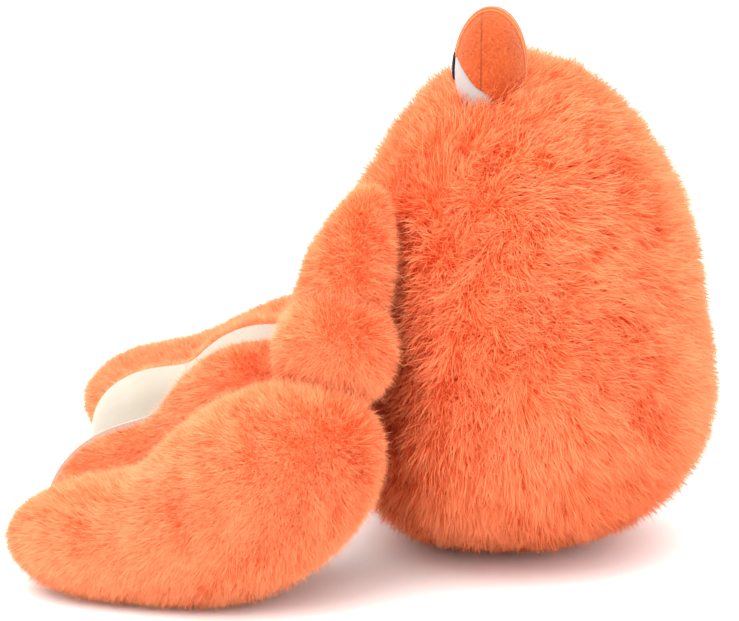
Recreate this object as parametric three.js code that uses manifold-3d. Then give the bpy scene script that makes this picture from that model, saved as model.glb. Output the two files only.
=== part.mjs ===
// Sitting plush crab: a fluffy gumdrop body with two sewn eyes and two arms that end in padded claws.
// Millimetres, +Z up. The crab faces -Y, and the origin is the middle of the flat base that it sits on.
import * as THREE from "three";
import { mergeVertices } from "three/addons/utils/BufferGeometryUtils.js";
import Module from "manifold-3d";

const wasm = await Module();
wasm.setup();

// Fits
const seamGap = 0.3;
const elbowPlay = 0.9;
const clawPlay = 3;

// Body, measured over the pile
const bodyWidth = 240;
const bodyDepth = 188;
const bodyHeight = 248;
const bodyWaistHeight = 78;
const bodyBaseDepth = 62;
const bodyForwardLean = 8;
const bodyCrownPower = 2.2;
const bodyCoverThickness = 14;

// Base panel and what fills the body
const basePanelWidth = 66;
const basePanelDepth = 52;
const basePanelThickness = 4;
const pelletBagWidth = 80;
const pelletBagDepth = 62;
const pelletBagHeight = 30;

// Eyes
const eyeSpacing = 80;
const eyeForward = 19;
const eyeWidth = 42;
const eyeDepth = 36;
const eyeHeight = 60;
const eyeStand = 27;
const eyeFabricThickness = 3;
const lidDropAtFront = 20;
const lidDropAtMiddle = 40;
const lidSeamForward = 4;
const pupilDiameter = 14;
const pupilThickness = 1.2;
const pupilDrop = 27;

// Arms, each laid against the body at its sewn shoulder
const shoulderAngle = 44;
const shoulderHeight = 168;
const limbCoverThickness = 6;
const upperArmRise = 70.5;
const upperArmStandOff = 5;
const upperArmTopAhead = 6;
const upperArmForward = 5;
const upperArmDiameter = 41;
const upperArmTaper = 0.28;
const elbowDiameter = 58;
const elbowOut = 39;
const elbowAside = 14.5;
const elbowDrop = 56;
const elbowTurningHole = 20;

// Claw: a mitten and its toe on the outer side, and two fingers on the inner side
const mittenWidth = 76;
const mittenLength = 120;
const mittenHeight = 82;
const mittenTilt = 33;
const mittenLift = 7;
const mittenForward = 32;
const mittenOutward = 25;
const toeWidth = 78;
const toeLength = 100;
const toeHeight = 48;
const toeForward = 66;
const toeOutward = 4;
const rearFingerWidth = 54;
const rearFingerLength = 106;
const rearFingerHeight = 100;
const rearFingerLift = 13;
const rearFingerForward = 4;
const rearFingerInward = 36.5;
const frontFingerWidth = 44;
const frontFingerLength = 94;
const frontFingerHeight = 76;
const frontFingerTilt = 20;
const frontFingerForward = 64;
const frontFingerInward = 3.5;
const clawNotchForward = 53;
const clawBlend = 3.5;
const mittenBlend = 11;
const clawCoreInward = 0.7;
const leftClawRoll = 0;
const leftClawPitch = 0;
const leftClawAdvance = 0;
const leftClawDrop = 0;
const rightClawRoll = 25;
const rightClawPitch = 9;
const rightClawAdvance = 8;
const rightClawDrop = 5.4;
const clawFlat = 1.5;
const liningDepth = 26;

// Facets
const bodyFacets = 24;
const bodyRings = 7;
const limbFacets = 16;
const limbRings = 10;
const elbowFacets = 20;
const elbowRings = 12;
const eyeFacets = 14;
const eyeRings = 10;
const clawFacets = 32;
const clawRings = 22;
const clawFillFacets = 18;
const clawFillRings = 11;

// Room for the flat cutting blocks, larger than the whole crab
const cutterSize = 4 * (bodyWidth + bodyHeight);

const orangePile = { color: 0xf9824a, roughness: 0.95, metalness: 0 };
const orangeNap = { color: 0xf87436, roughness: 0.9, metalness: 0 };
const creamVelour = { color: 0xf3e3cd, roughness: 0.85, metalness: 0 };
const whiteVelour = { color: 0xf4f1ec, roughness: 0.85, metalness: 0 };
const blackFelt = { color: 0x141414, roughness: 0.9, metalness: 0 };
const polyesterFill = { color: 0xf2f0ea, roughness: 1, metalness: 0 };
const calicoBag = { color: 0xd9cdb4, roughness: 0.95, metalness: 0 };

const crab = new THREE.Group();

// A closed geometry as a solid that can be joined and cut.
function solid(geometry) {
  const bare = geometry.clone();
  bare.deleteAttribute("normal");
  bare.deleteAttribute("uv");
  const merged = mergeVertices(bare, 1e-4);
  const mesh = new wasm.Mesh({
    numProp: 3,
    vertProperties: merged.attributes.position.array,
    triVerts: new Uint32Array(merged.index.array),
  });
  return new wasm.Manifold(mesh);
}

function geometryOf(made) {
  const mesh = made.getMesh();
  const geometry = new THREE.BufferGeometry();
  geometry.setAttribute("position", new THREE.BufferAttribute(mesh.vertProperties, 3));
  geometry.setIndex(new THREE.BufferAttribute(mesh.triVerts, 1));
  geometry.computeVertexNormals();
  return geometry;
}

function mirrored(geometry) {
  const copy = geometry.clone().applyMatrix4(new THREE.Matrix4().makeScale(-1, 1, 1));
  const order = copy.index.array;
  for (let i = 0; i < order.length; i += 3) {
    const kept = order[i + 1];
    order[i + 1] = order[i + 2];
    order[i + 2] = kept;
  }
  copy.computeVertexNormals();
  return copy;
}

function piece(name, geometry, finish) {
  const mesh = new THREE.Mesh(geometry, new THREE.MeshStandardMaterial(finish));
  mesh.name = name;
  crab.add(mesh);
}

// One piece on the crab's left, at +X, and its mirror image on the right.
function pair(name, made, finish) {
  const geometry = geometryOf(made);
  piece(`left_${name}`, geometry, finish);
  piece(`right_${name}`, mirrored(geometry), finish);
}

// A block that fills everything on the far side of a plane, the way the normal points.
function beyond(point, normal) {
  const block = new THREE.BoxGeometry(cutterSize, cutterSize, cutterSize);
  block.translate(0, 0, cutterSize / 2);
  const upright = new THREE.Vector3(0, 0, 1);
  block.applyQuaternion(new THREE.Quaternion().setFromUnitVectors(upright, normal.clone().normalize()));
  block.translate(point.x, point.y, point.z);
  return solid(block);
}

// A round form from a profile of [radius share, height] points, spun about Z, scaled to an oval
// and leaning forward by a share of its height.
function ovalSolid(profile, halfWidth, halfDepth, facets, lean) {
  const points = profile.map(([share, height]) => new THREE.Vector2(share, height));
  const form = new THREE.LatheGeometry(points, facets);
  form.rotateX(Math.PI / 2);
  form.scale(halfWidth, halfDepth, 1);
  form.applyMatrix4(new THREE.Matrix4().makeShear(0, 0, 0, 0, 0, -lean));
  return solid(form);
}

function ball(centre, halfX, halfY, halfZ, facets, rings) {
  const form = new THREE.SphereGeometry(1, facets, rings);
  form.rotateX(Math.PI / 2);
  form.scale(halfX, halfY, halfZ);
  form.translate(centre.x, centre.y, centre.z);
  return solid(form);
}

// The gumdrop: an ellipse below the waist, cut flat at the floor, and a fuller crown above it.
function gumdrop(width, depth, top, floor, baseDepth) {
  const lowerReach = (bodyWaistHeight - floor) / Math.sqrt(1 - (baseDepth / depth) ** 2);
  const lowest = Math.asin((bodyWaistHeight - floor) / lowerReach);
  const profile = [[0, floor]];
  for (let i = 0; i < bodyRings; i += 1) {
    const turn = lowest * (1 - i / bodyRings);
    profile.push([Math.cos(turn), bodyWaistHeight - lowerReach * Math.sin(turn)]);
  }
  for (let i = 0; i < bodyRings; i += 1) {
    const turn = (Math.PI / 2) * (i / bodyRings);
    const share = Math.cos(turn) ** (2 / bodyCrownPower);
    const rise = Math.sin(turn) ** (2 / bodyCrownPower);
    profile.push([share, bodyWaistHeight + (top - bodyWaistHeight) * rise]);
  }
  profile.push([0, top]);
  return ovalSolid(profile, width / 2, depth / 2, bodyFacets, bodyForwardLean / bodyHeight);
}

function grownBody(by) {
  return gumdrop(bodyWidth + 2 * by, bodyDepth + 2 * by, bodyHeight + by, -by, bodyBaseDepth);
}

// The share of its full width that the body keeps at a height above the waist.
function crownShare(height) {
  const rise = (height - bodyWaistHeight) / (bodyHeight - bodyWaistHeight);
  return (1 - rise ** bodyCrownPower) ** (1 / bodyCrownPower);
}

// How far forward the body's axis has leaned at a height.
function leanAt(height) {
  return (bodyForwardLean * height) / bodyHeight;
}

// The height of the crown over a place, settled in a few steps because the axis leans.
function crownHeight(x, y) {
  let height = bodyHeight;
  for (let i = 0; i < 8; i += 1) {
    const share = Math.hypot(x / (bodyWidth / 2), (y + leanAt(height)) / (bodyDepth / 2));
    const rise = (1 - share ** bodyCrownPower) ** (1 / bodyCrownPower);
    height = bodyWaistHeight + (bodyHeight - bodyWaistHeight) * rise;
  }
  return height;
}

// Body: two fur side panels sewn at the middle, a base panel, stuffing and a bag of pellets
function makeBody() {
  const inside = bodyCoverThickness;
  const insideFloor = basePanelThickness + seamGap;
  const insideBaseDepth = basePanelDepth - limbCoverThickness;
  const outer = gumdrop(bodyWidth, bodyDepth, bodyHeight, 0, bodyBaseDepth);
  const hollow = gumdrop(
    bodyWidth - 2 * inside,
    bodyDepth - 2 * inside,
    bodyHeight - inside,
    insideFloor,
    insideBaseDepth,
  );
  const panelProfile = (by) => [
    [0, -by],
    [1, -by],
    [1, basePanelThickness + by],
    [0, basePanelThickness + by],
  ];
  const panel = ovalSolid(panelProfile(0), basePanelWidth / 2, basePanelDepth / 2, bodyFacets, 0);
  const panelHole = ovalSolid(
    panelProfile(seamGap),
    basePanelWidth / 2 + seamGap,
    basePanelDepth / 2 + seamGap,
    bodyFacets,
    0,
  );
  const cover = outer.subtract(hollow).subtract(panelHole);
  const middle = new THREE.Vector3(seamGap / 2, 0, 0);
  const half = cover.intersect(beyond(middle, new THREE.Vector3(1, 0, 0)));
  pair("body_cover", half, orangePile);
  piece("base_panel", geometryOf(panel), orangePile);

  const bagProfile = (by) => {
    const points = [[0, insideFloor - by]];
    for (let i = 0; i <= bodyRings; i += 1) {
      const turn = (Math.PI / 2) * (2 * (i / bodyRings) - 1);
      const share = 0.6 + 0.4 * Math.cos(turn);
      points.push([share, insideFloor - by + ((1 + Math.sin(turn)) / 2) * (pelletBagHeight + 2 * by)]);
    }
    points.push([0, insideFloor + pelletBagHeight + by]);
    return points;
  };
  const bag = ovalSolid(bagProfile(0), pelletBagWidth / 2, pelletBagDepth / 2, limbFacets, 0);
  const bagRoom = ovalSolid(
    bagProfile(seamGap),
    pelletBagWidth / 2 + seamGap,
    pelletBagDepth / 2 + seamGap,
    limbFacets,
    0,
  );
  const fill = gumdrop(
    bodyWidth - 2 * (inside + seamGap),
    bodyDepth - 2 * (inside + seamGap),
    bodyHeight - inside - seamGap,
    insideFloor + seamGap,
    insideBaseDepth - 2 * seamGap,
  );
  piece("body_stuffing", geometryOf(fill.subtract(bagRoom)), polyesterFill);
  piece("pellet_bag", geometryOf(bag), calicoBag);
}

// Eyes: a stuffed dome with a white front, a felt pupil and a lid in two panels
function makeEyes() {
  const x = eyeSpacing / 2;
  const top = crownHeight(x, -eyeForward) + eyeStand;
  const centre = new THREE.Vector3(x, -eyeForward, top - eyeHeight / 2);
  const dome = (by) =>
    ball(centre, eyeWidth / 2 + by, eyeDepth / 2 + by, eyeHeight / 2 + by, eyeFacets, eyeRings);
  const body = grownBody(seamGap);
  const fabric = dome(0).subtract(dome(-eyeFabricThickness)).subtract(body);
  const fill = dome(-eyeFabricThickness - seamGap).subtract(body);

  const front = new THREE.Vector3(x, centre.y - eyeDepth / 2, top - lidDropAtFront);
  const run = new THREE.Vector3(0, eyeDepth / 2, lidDropAtFront - lidDropAtMiddle);
  const lidUp = new THREE.Vector3(0, -run.z, run.y).normalize();
  const seamHalf = lidUp.clone().multiplyScalar(seamGap / 2);
  const white = fabric.intersect(beyond(front.clone().sub(seamHalf), lidUp.clone().negate()));
  const lid = fabric.intersect(beyond(front.clone().add(seamHalf), lidUp));
  const seamPlace = (side) => new THREE.Vector3(x, centre.y - lidSeamForward + (side * seamGap) / 2, 0);
  const lidFront = lid.intersect(beyond(seamPlace(-1), new THREE.Vector3(0, -1, 0)));
  const lidBack = lid.intersect(beyond(seamPlace(1), new THREE.Vector3(0, 1, 0)));

  const disc = new THREE.CylinderGeometry(pupilDiameter / 2, pupilDiameter / 2, eyeDepth, limbFacets);
  disc.translate(x, centre.y - eyeDepth / 2, top - pupilDrop);
  const felt = dome(seamGap + pupilThickness).subtract(dome(seamGap));
  const pupil = felt.intersect(solid(disc)).subtract(body);

  pair("eye_white", white, whiteVelour);
  pair("eyelid_front", lidFront, orangeNap);
  pair("eyelid_back", lidBack, orangeNap);
  pair("pupil", pupil, blackFelt);
  pair("eye_stuffing", fill, polyesterFill);
}

// Where the left arm is sewn on, the level way out of the body there, and the way round it to the back.
function shoulder() {
  const turn = THREE.MathUtils.degToRad(shoulderAngle);
  const halfWidth = (bodyWidth / 2) * crownShare(shoulderHeight);
  const halfDepth = (bodyDepth / 2) * crownShare(shoulderHeight);
  const place = new THREE.Vector3(halfWidth * Math.sin(turn), -halfDepth * Math.cos(turn), shoulderHeight);
  const level = new THREE.Vector3(place.x / halfWidth ** 2, place.y / halfDepth ** 2, 0).normalize();
  const aside = new THREE.Vector3(-level.y, level.x, 0);
  place.y -= leanAt(shoulderHeight);
  return { place, level, aside };
}

// A tapered pad spun about its own length, narrow at the top and full at the bottom.
function armPad(topEnd, bottomEnd, inset) {
  const length = topEnd.distanceTo(bottomEnd) - 2 * inset;
  const fullest = 1 + upperArmTaper ** 2;
  const points = [];
  for (let i = 0; i <= limbRings; i += 1) {
    const turn = Math.PI * (i / limbRings);
    const along = -Math.cos(turn);
    const widest = (upperArmDiameter / 2 - inset) / fullest;
    const radius = widest * Math.sin(turn) * (1 - upperArmTaper * along);
    points.push(new THREE.Vector2(Math.max(0, radius), (along * length) / 2));
  }
  points[0].x = 0;
  points[limbRings].x = 0;
  const form = new THREE.LatheGeometry(points, limbFacets);
  const up = topEnd.clone().sub(bottomEnd).normalize();
  form.applyQuaternion(new THREE.Quaternion().setFromUnitVectors(new THREE.Vector3(0, 1, 0), up));
  const middle = topEnd.clone().add(bottomEnd).multiplyScalar(0.5);
  form.translate(middle.x, middle.y, middle.z);
  return form;
}

// The four swellings of a claw, placed from the elbow and standing on the floor.
// A tilted one dips its front end, and its height over the floor counts the tilt.
// A claw that lies turned lifts its outer side and then its nose, about the top of the pincer notch,
// and drops until it rests on the floor.
function clawLobes(elbow, rollDegrees, pitchDegrees, advance, drop) {
  const roll = new THREE.Quaternion();
  roll.setFromAxisAngle(new THREE.Vector3(0, -1, 0), THREE.MathUtils.degToRad(rollDegrees));
  const turn = new THREE.Quaternion();
  turn.setFromAxisAngle(new THREE.Vector3(-1, 0, 0), THREE.MathUtils.degToRad(pitchDegrees));
  turn.multiply(roll);
  const mittenY = elbow.y - mittenForward - advance;
  const rearX = elbow.x - rearFingerInward;
  const rearY = mittenY - rearFingerForward;
  const notch = new THREE.Vector3(rearX, rearY - clawNotchForward, frontFingerHeight);
  const rest = notch.clone().setZ(notch.z - drop);
  const lobe = (x, y, lift, width, length, height, tiltDegrees) => {
    const tilt = THREE.MathUtils.degToRad(tiltDegrees);
    const standing = Math.hypot((height / 2) * Math.cos(tilt), (length / 2) * Math.sin(tilt));
    const centre = new THREE.Vector3(x, y, lift + standing - clawFlat);
    const unturn = new THREE.Quaternion().setFromAxisAngle(new THREE.Vector3(1, 0, 0), -tilt);
    return {
      centre: centre.sub(notch).applyQuaternion(turn).add(rest),
      half: new THREE.Vector3(width / 2, length / 2, height / 2),
      unturn: unturn.multiply(turn.clone().invert()),
    };
  };
  const mittenX = elbow.x + mittenOutward;
  const toeX = elbow.x + toeOutward;
  const frontX = rearX - frontFingerInward;
  const frontY = rearY - frontFingerForward;
  const mitten = lobe(mittenX, mittenY, mittenLift, mittenWidth, mittenLength, mittenHeight, mittenTilt);
  const toe = lobe(toeX, mittenY - toeForward, 0, toeWidth, toeLength, toeHeight, 0);
  const rear = lobe(rearX, rearY, rearFingerLift, rearFingerWidth, rearFingerLength, rearFingerHeight, 0);
  const frontSize = [frontFingerWidth, frontFingerLength, frontFingerHeight];
  const front = lobe(frontX, frontY, 0, ...frontSize, frontFingerTilt);
  const inwards = new THREE.Vector3(-1, 0, 0).applyQuaternion(turn);
  return { lobes: [mitten, toe, rear, front], notch, inwards };
}

// Levels melted into one over a width.
function melted(levels, width) {
  let sum = 0;
  levels.forEach((level) => {
    sum += Math.exp(-level / width);
  });
  return -width * Math.log(sum);
}

// Below zero inside the claw: mitten and toe melt softly together, and the fingers more sharply into both.
function clawLevel(lobes, point, inset) {
  const [mitten, toe, rear, front] = lobes.map(({ centre, half, unturn }) => {
    const room = half.clone().subScalar(inset);
    const reach = point.clone().sub(centre).applyQuaternion(unturn).divide(room).length();
    return (reach - 1) * Math.min(room.x, room.y, room.z);
  });
  return melted([melted([mitten, toe], mittenBlend), rear, front], clawBlend);
}

// The claw's skin as rings round its length, each point where its ray from far out first meets the claw.
function clawForm(lobes, inset, facets, rings) {
  const [mitten, toe, rear, front] = lobes.map(({ centre }) => centre);
  const outerMiddle = mitten.clone().lerp(toe, 0.5);
  const core = outerMiddle.lerp(rear.clone().lerp(front, 0.5), clawCoreInward);
  const farthest = mittenLength + toeLength;
  const strides = 60;
  const halvings = 30;
  const reachAlong = (way) => {
    const inside = (reach) => clawLevel(lobes, core.clone().addScaledVector(way, reach), inset) < 0;
    let stride = strides;
    while (stride > 1 && !inside((farthest * (stride - 1)) / strides)) {
      stride -= 1;
    }
    let inner = (farthest * (stride - 1)) / strides;
    let outer = (farthest * stride) / strides;
    for (let i = 0; i < halvings; i += 1) {
      const middle = (inner + outer) / 2;
      const within = inside(middle);
      inner = within ? middle : inner;
      outer = within ? outer : middle;
    }
    return core.clone().addScaledVector(way, inner);
  };
  const vertices = [];
  const order = [];
  const add = (way) => vertices.push(...reachAlong(way).toArray());
  add(new THREE.Vector3(0, 1, 0));
  for (let i = 1; i < rings; i += 1) {
    const polar = Math.PI * (i / rings);
    for (let j = 0; j < facets; j += 1) {
      const round = 2 * Math.PI * (j / facets);
      const wide = Math.sin(polar);
      add(new THREE.Vector3(wide * Math.cos(round), Math.cos(polar), wide * Math.sin(round)));
    }
  }
  add(new THREE.Vector3(0, -1, 0));
  const at = (ring, facet) => 1 + (ring - 1) * facets + (facet % facets);
  const tip = 1 + (rings - 1) * facets;
  for (let j = 0; j < facets; j += 1) {
    order.push(0, at(1, j + 1), at(1, j));
    order.push(tip, at(rings - 1, j), at(rings - 1, j + 1));
    for (let i = 1; i < rings - 1; i += 1) {
      order.push(at(i, j), at(i, j + 1), at(i + 1, j));
      order.push(at(i, j + 1), at(i + 1, j + 1), at(i + 1, j));
    }
  }
  const form = new THREE.BufferGeometry();
  form.setAttribute("position", new THREE.Float32BufferAttribute(vertices, 3));
  form.setIndex(order);
  return solid(form);
}

// Arms: an upper arm pad sewn to the body, an elbow ball under it and a claw under the ball
function makeArms() {
  const { place, level, aside } = shoulder();
  const wall = limbCoverThickness;
  const elbow = place.clone().addScaledVector(level, elbowOut).addScaledVector(aside, elbowAside);
  elbow.z = shoulderHeight - elbowDrop;
  const elbowBall = (radius) => ball(elbow, radius, radius, radius, elbowFacets, elbowRings);
  const elbowRadius = elbowDiameter / 2;
  const elbowRoom = elbowBall(elbowRadius + elbowPlay);

  const topEnd = place.clone().addScaledVector(level, upperArmStandOff);
  topEnd.addScaledVector(aside, -upperArmTopAhead);
  topEnd.z = elbow.z + upperArmRise;
  const bottomEnd = elbow.clone().addScaledVector(level, upperArmForward);
  const pad = (inset) => solid(armPad(topEnd, bottomEnd, inset)).subtract(grownBody(seamGap + inset));
  pair("upper_arm_cover", pad(0).subtract(pad(wall)).subtract(elbowRoom), orangePile);
  pair("upper_arm_stuffing", pad(wall + seamGap).subtract(elbowRoom), polyesterFill);

  const holeRadius = elbowTurningHole / 2;
  const hole = new THREE.CylinderGeometry(holeRadius, holeRadius, elbowRadius, limbFacets);
  hole.rotateX(Math.PI / 2);
  hole.translate(elbow.x, elbow.y, elbow.z - elbowRadius);
  const elbowShell = elbowBall(elbowRadius).subtract(elbowBall(elbowRadius - wall));
  pair("elbow_cover", elbowShell.subtract(solid(hole)), orangePile);
  pair("elbow_stuffing", elbowBall(elbowRadius - wall - seamGap), polyesterFill);

  const leftRest = [leftClawRoll, leftClawPitch, leftClawAdvance, leftClawDrop];
  const rightRest = [rightClawRoll, rightClawPitch, rightClawAdvance, rightClawDrop];
  makeClaw("left", clawLobes(elbow, ...leftRest), elbow, (geometry) => geometry);
  makeClaw("right", clawLobes(elbow, ...rightRest), elbow, mirrored);
}

// A claw: a pile cover, two velour linings on the inner faces of the fingers, and stuffing
function makeClaw(side, shape, elbow, place) {
  const { lobes, notch, inwards } = shape;
  const [, , rear, front] = lobes;
  const dish = elbowDiameter / 2 + elbowPlay;
  const form = (inset, facets, rings) =>
    clawForm(lobes, inset, facets, rings)
      .subtract(ball(elbow, dish + inset, dish + inset, dish + inset, elbowFacets, elbowRings))
      .subtract(grownBody(clawPlay + inset))
      .intersect(beyond(new THREE.Vector3(0, 0, inset), new THREE.Vector3(0, 0, 1)));
  const fill = (inset) => form(inset, clawFillFacets, clawFillRings);
  const shell = form(0, clawFacets, clawRings).subtract(fill(limbCoverThickness));
  const inner = (finger, by) =>
    beyond(finger.centre.clone().addScaledVector(inwards, finger.half.x - liningDepth - by), inwards);
  const behindNotch = beyond(notch, new THREE.Vector3(0, 1, 0));
  const aheadOfNotch = beyond(notch, new THREE.Vector3(0, -1, 0));
  const rearSide = (by) => inner(rear, by).intersect(behindNotch);
  const frontSide = (by) => inner(front, by).intersect(aheadOfNotch);
  const add = (name, made, finish) => piece(`${side}_${name}`, place(geometryOf(made)), finish);
  add("claw_cover", shell.subtract(rearSide(seamGap)).subtract(frontSide(seamGap)), orangePile);
  add("claw_rear_lining", shell.intersect(rearSide(0)), creamVelour);
  add("claw_front_lining", shell.intersect(frontSide(0)), creamVelour);
  add("claw_stuffing", fill(limbCoverThickness + seamGap), polyesterFill);
}

makeBody();
makeEyes();
makeArms();

export default crab;
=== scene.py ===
import bmesh
import bpy
import numpy as np
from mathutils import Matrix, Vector


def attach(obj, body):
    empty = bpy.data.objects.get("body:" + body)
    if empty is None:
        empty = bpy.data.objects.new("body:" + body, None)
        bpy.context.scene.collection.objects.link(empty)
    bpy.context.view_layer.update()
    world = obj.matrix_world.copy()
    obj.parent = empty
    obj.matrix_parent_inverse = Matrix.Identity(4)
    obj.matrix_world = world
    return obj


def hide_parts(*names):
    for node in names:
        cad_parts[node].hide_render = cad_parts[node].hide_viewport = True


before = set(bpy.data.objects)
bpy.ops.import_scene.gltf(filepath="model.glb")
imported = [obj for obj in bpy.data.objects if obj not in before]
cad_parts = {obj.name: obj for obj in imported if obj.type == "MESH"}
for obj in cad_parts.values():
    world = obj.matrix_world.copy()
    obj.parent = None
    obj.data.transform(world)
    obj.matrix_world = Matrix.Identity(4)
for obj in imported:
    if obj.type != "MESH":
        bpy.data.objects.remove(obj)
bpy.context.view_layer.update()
print("frame loaded, nodes:", len(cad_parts))

# Every length below is in millimetres, in the frame of the solids: +Z up, the crab faces -Y.
toMetres = 0.001


def unit(v):
    return v / np.maximum(np.linalg.norm(v, axis=-1, keepdims=True), 1e-9)


def ramp(nodes, links, source, stops):
    node = nodes.new("ShaderNodeValToRGB")
    links.new(source, node.inputs["Fac"])
    node.color_ramp.elements[0].position, node.color_ramp.elements[0].color = stops[0][0], (*stops[0][1], 1)
    node.color_ramp.elements[1].position, node.color_ramp.elements[1].color = stops[-1][0], (*stops[-1][1], 1)
    for place, colour in stops[1:-1]:
        node.color_ramp.elements.new(place).color = (*colour, 1)
    return node.outputs["Color"]


# Camera and light

cameraSetup = {"place": (1000, -4, 267), "way": (-1, -0.07575, -0.15275), "focalPixels": 2000, "photoWidth": 739}
lightSetup = {
    "skyStrength": 2.3,
    "keyPlace": (620, -420, 900), "keySize": 900, "keyPower": 5.0,
    "topPlace": (60, 60, 1300), "topSize": 1400, "topPower": 5.0, "aim": (0, -60, 110),
    "sky": [(0.0, (0.74, 0.74, 0.73)), (0.4, (0.88, 0.875, 0.865)), (1.0, (1.0, 0.99, 0.975))],
}


def addCamera():
    data = bpy.data.cameras.new("photoCamera")
    data.sensor_width = 36
    data.lens = 36 * cameraSetup["focalPixels"] / cameraSetup["photoWidth"]
    data.clip_start = 0.01
    camera = bpy.data.objects.new("photoCamera", data)
    camera.location = Vector(cameraSetup["place"]) * toMetres
    camera.rotation_euler = Vector(cameraSetup["way"]).to_track_quat("-Z", "Y").to_euler()
    bpy.context.scene.collection.objects.link(camera)
    bpy.context.scene.camera = camera


def addSoftbox(name, place, size, power):
    data = bpy.data.lights.new(name, "AREA")
    data.shape = "DISK"
    data.size = size * toMetres
    data.energy = power
    lamp = bpy.data.objects.new(name, data)
    lamp.location = Vector(place) * toMetres
    lamp.rotation_euler = (Vector(lightSetup["aim"]) - Vector(place)).to_track_quat("-Z", "Y").to_euler()
    bpy.context.scene.collection.objects.link(lamp)


def addStudio():
    world = bpy.data.worlds.new("paleStudio")
    world.use_nodes = True
    sky = world.node_tree.nodes["Background"]
    way = world.node_tree.nodes.new("ShaderNodeTexCoord")
    parts = world.node_tree.nodes.new("ShaderNodeSeparateXYZ")
    world.node_tree.links.new(way.outputs["Object"], parts.inputs["Vector"])
    dome = ramp(world.node_tree.nodes, world.node_tree.links, parts.outputs["Z"], lightSetup["sky"])
    world.node_tree.links.new(dome, sky.inputs["Color"])
    sky.inputs["Strength"].default_value = lightSetup["skyStrength"]
    bpy.context.scene.world = world
    addSoftbox("keySoftbox", lightSetup["keyPlace"], lightSetup["keySize"], lightSetup["keyPower"])
    addSoftbox("topSoftbox", lightSetup["topPlace"], lightSetup["topSize"], lightSetup["topPower"])
    bpy.context.scene.view_settings.view_transform = "Standard"


addCamera()
addStudio()
print("camera and light set")


# Materials

def newMaterial(name):
    material = bpy.data.materials.new(name)
    material.use_nodes = True
    nodes = material.node_tree.nodes
    return material, nodes, material.node_tree.links, nodes["Principled BSDF"]


# Strands of pile: colour runs from root to tip along V, darker at the root as painted shade deep in the pile and
# paler at the tip as painted light through it, and U carries the strand's tone, which differs at random and is
# lowered towards the base as painted shade.
def pileMaterial(name, look):
    material, nodes, links, shader = newMaterial(name)
    uvMap = nodes.new("ShaderNodeUVMap")
    uvMap.uv_map = "OFBake"
    parts = nodes.new("ShaderNodeSeparateXYZ")
    links.new(uvMap.outputs["UV"], parts.inputs["Vector"])
    # darker roots are painted shade deep in the pile, paler tips are painted light through it
    lengthwise = [(0.0, look["root"]), (0.45, look["middle"]), (1.0, look["tip"])]
    along = ramp(nodes, links, parts.outputs["Y"], lengthwise)
    tones = [(0.0, look["darkTone"]), (0.5, (1, 1, 1)), (1.0, look["paleTone"])]
    tone = ramp(nodes, links, parts.outputs["X"], tones)
    blend = nodes.new("ShaderNodeMix")
    blend.data_type = "RGBA"
    blend.blend_type = "MULTIPLY"
    blend.inputs["Factor"].default_value = 1
    links.new(along, blend.inputs["A"])
    links.new(tone, blend.inputs["B"])
    links.new(blend.outputs["Result"], shader.inputs["Base Color"])
    rough = nodes.new("ShaderNodeMapRange")
    rough.inputs["To Min"].default_value = 0.75
    rough.inputs["To Max"].default_value = 0.5
    links.new(parts.outputs["Y"], rough.inputs["Value"])
    links.new(rough.outputs["Result"], shader.inputs["Roughness"])
    shader.inputs["Specular IOR Level"].default_value = 0.25
    through = nodes.new("ShaderNodeBsdfTranslucent")
    links.new(blend.outputs["Result"], through.inputs["Color"])
    mix = nodes.new("ShaderNodeMixShader")
    mix.inputs["Fac"].default_value = look["through"]
    links.new(shader.outputs["BSDF"], mix.inputs[1])
    links.new(through.outputs["BSDF"], mix.inputs[2])
    links.new(mix.outputs["Shader"], nodes["Material Output"].inputs["Surface"])
    return material


# A painted line across a cloth, used for painted shade along a groove and for a painted highlight along a ridge: the
# tint fades out with the distance from a plane on one axis, alike on both sides.
def paintedLine(nodes, links, source, colour, axis, at, width, tint):
    parts = nodes.new("ShaderNodeSeparateXYZ")
    links.new(source, parts.inputs["Vector"])
    value = parts.outputs[axis]
    for operation, amount in (("ABSOLUTE", 0), ("SUBTRACT", abs(at) * toMetres), ("ABSOLUTE", 0)):
        step = nodes.new("ShaderNodeMath")
        step.operation = operation
        links.new(value, step.inputs[0])
        step.inputs[1].default_value = amount
        value = step.outputs["Value"]
    fade = nodes.new("ShaderNodeMapRange")
    fade.inputs["From Min"].default_value = 0.4 * width * toMetres
    fade.inputs["From Max"].default_value = width * toMetres
    fade.inputs["To Min"].default_value = 1
    fade.inputs["To Max"].default_value = 0
    links.new(value, fade.inputs["Value"])
    mix = nodes.new("ShaderNodeMix")
    mix.data_type = "RGBA"
    links.new(fade.outputs["Result"], mix.inputs["Factor"])
    links.new(colour, mix.inputs["A"])
    mix.inputs["B"].default_value = (*tint, 1)
    return mix.outputs["Result"]


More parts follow.
